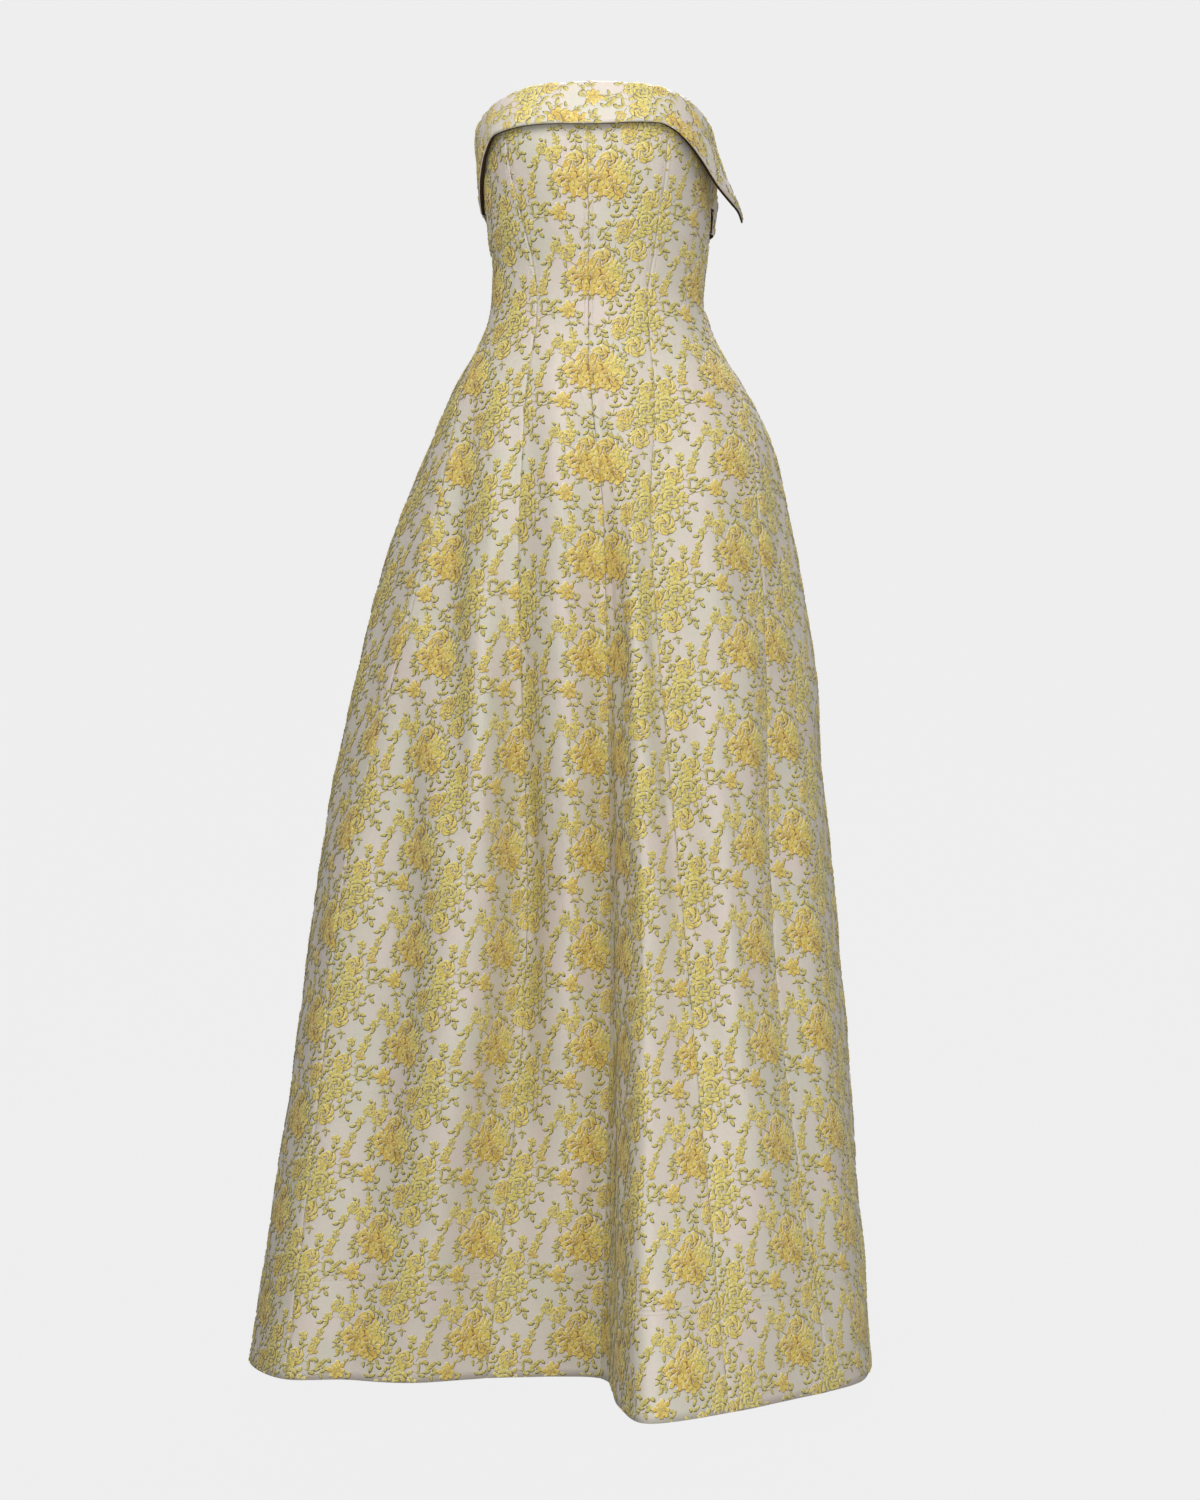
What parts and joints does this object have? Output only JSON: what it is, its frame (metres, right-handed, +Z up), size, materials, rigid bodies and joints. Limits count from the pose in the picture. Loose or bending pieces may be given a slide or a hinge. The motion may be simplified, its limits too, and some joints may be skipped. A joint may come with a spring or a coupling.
{
  "type": "strapless gown",
  "caption": "Floor-length strapless gown in floral brocade with a turned-down cuff at the neckline, hollow and standing in its worn shape.",
  "frame": {"origin": "centre of the waist, on the body's axis", "axes": "+Z up, -Y towards the front of the gown, +X towards the wearer's left"},
  "size_m": [0.679, 0.628, 1.3829],
  "materials": {
    "brocade": "satin",
    "zip_tape": "woven",
    "zip_metal": "satin"
  },
  "bodies": {
    "gown": {"side_front_right": "brocade", "front_right": "brocade", "front_left": "brocade", "side_front_left": "brocade", "side_back_left": "brocade", "back_left": "brocade", "back_right": "brocade", "side_back_right": "brocade", "cuff_front": "brocade", "cuff_back_left": "brocade", "cuff_back_right": "brocade", "zip": "zip_tape", "zip_slider": "zip_metal"},
    "zip_pull": {"zip_pull": "zip_metal"}
  },
  "joints": [
    {"name": "pull_swing", "type": "hinge", "parent": "gown", "child": "zip_pull", "pos_m": [0, 0.10866, 0.134], "axis": [1, 0, 0], "range_deg": [-8, 160]}
  ]
}
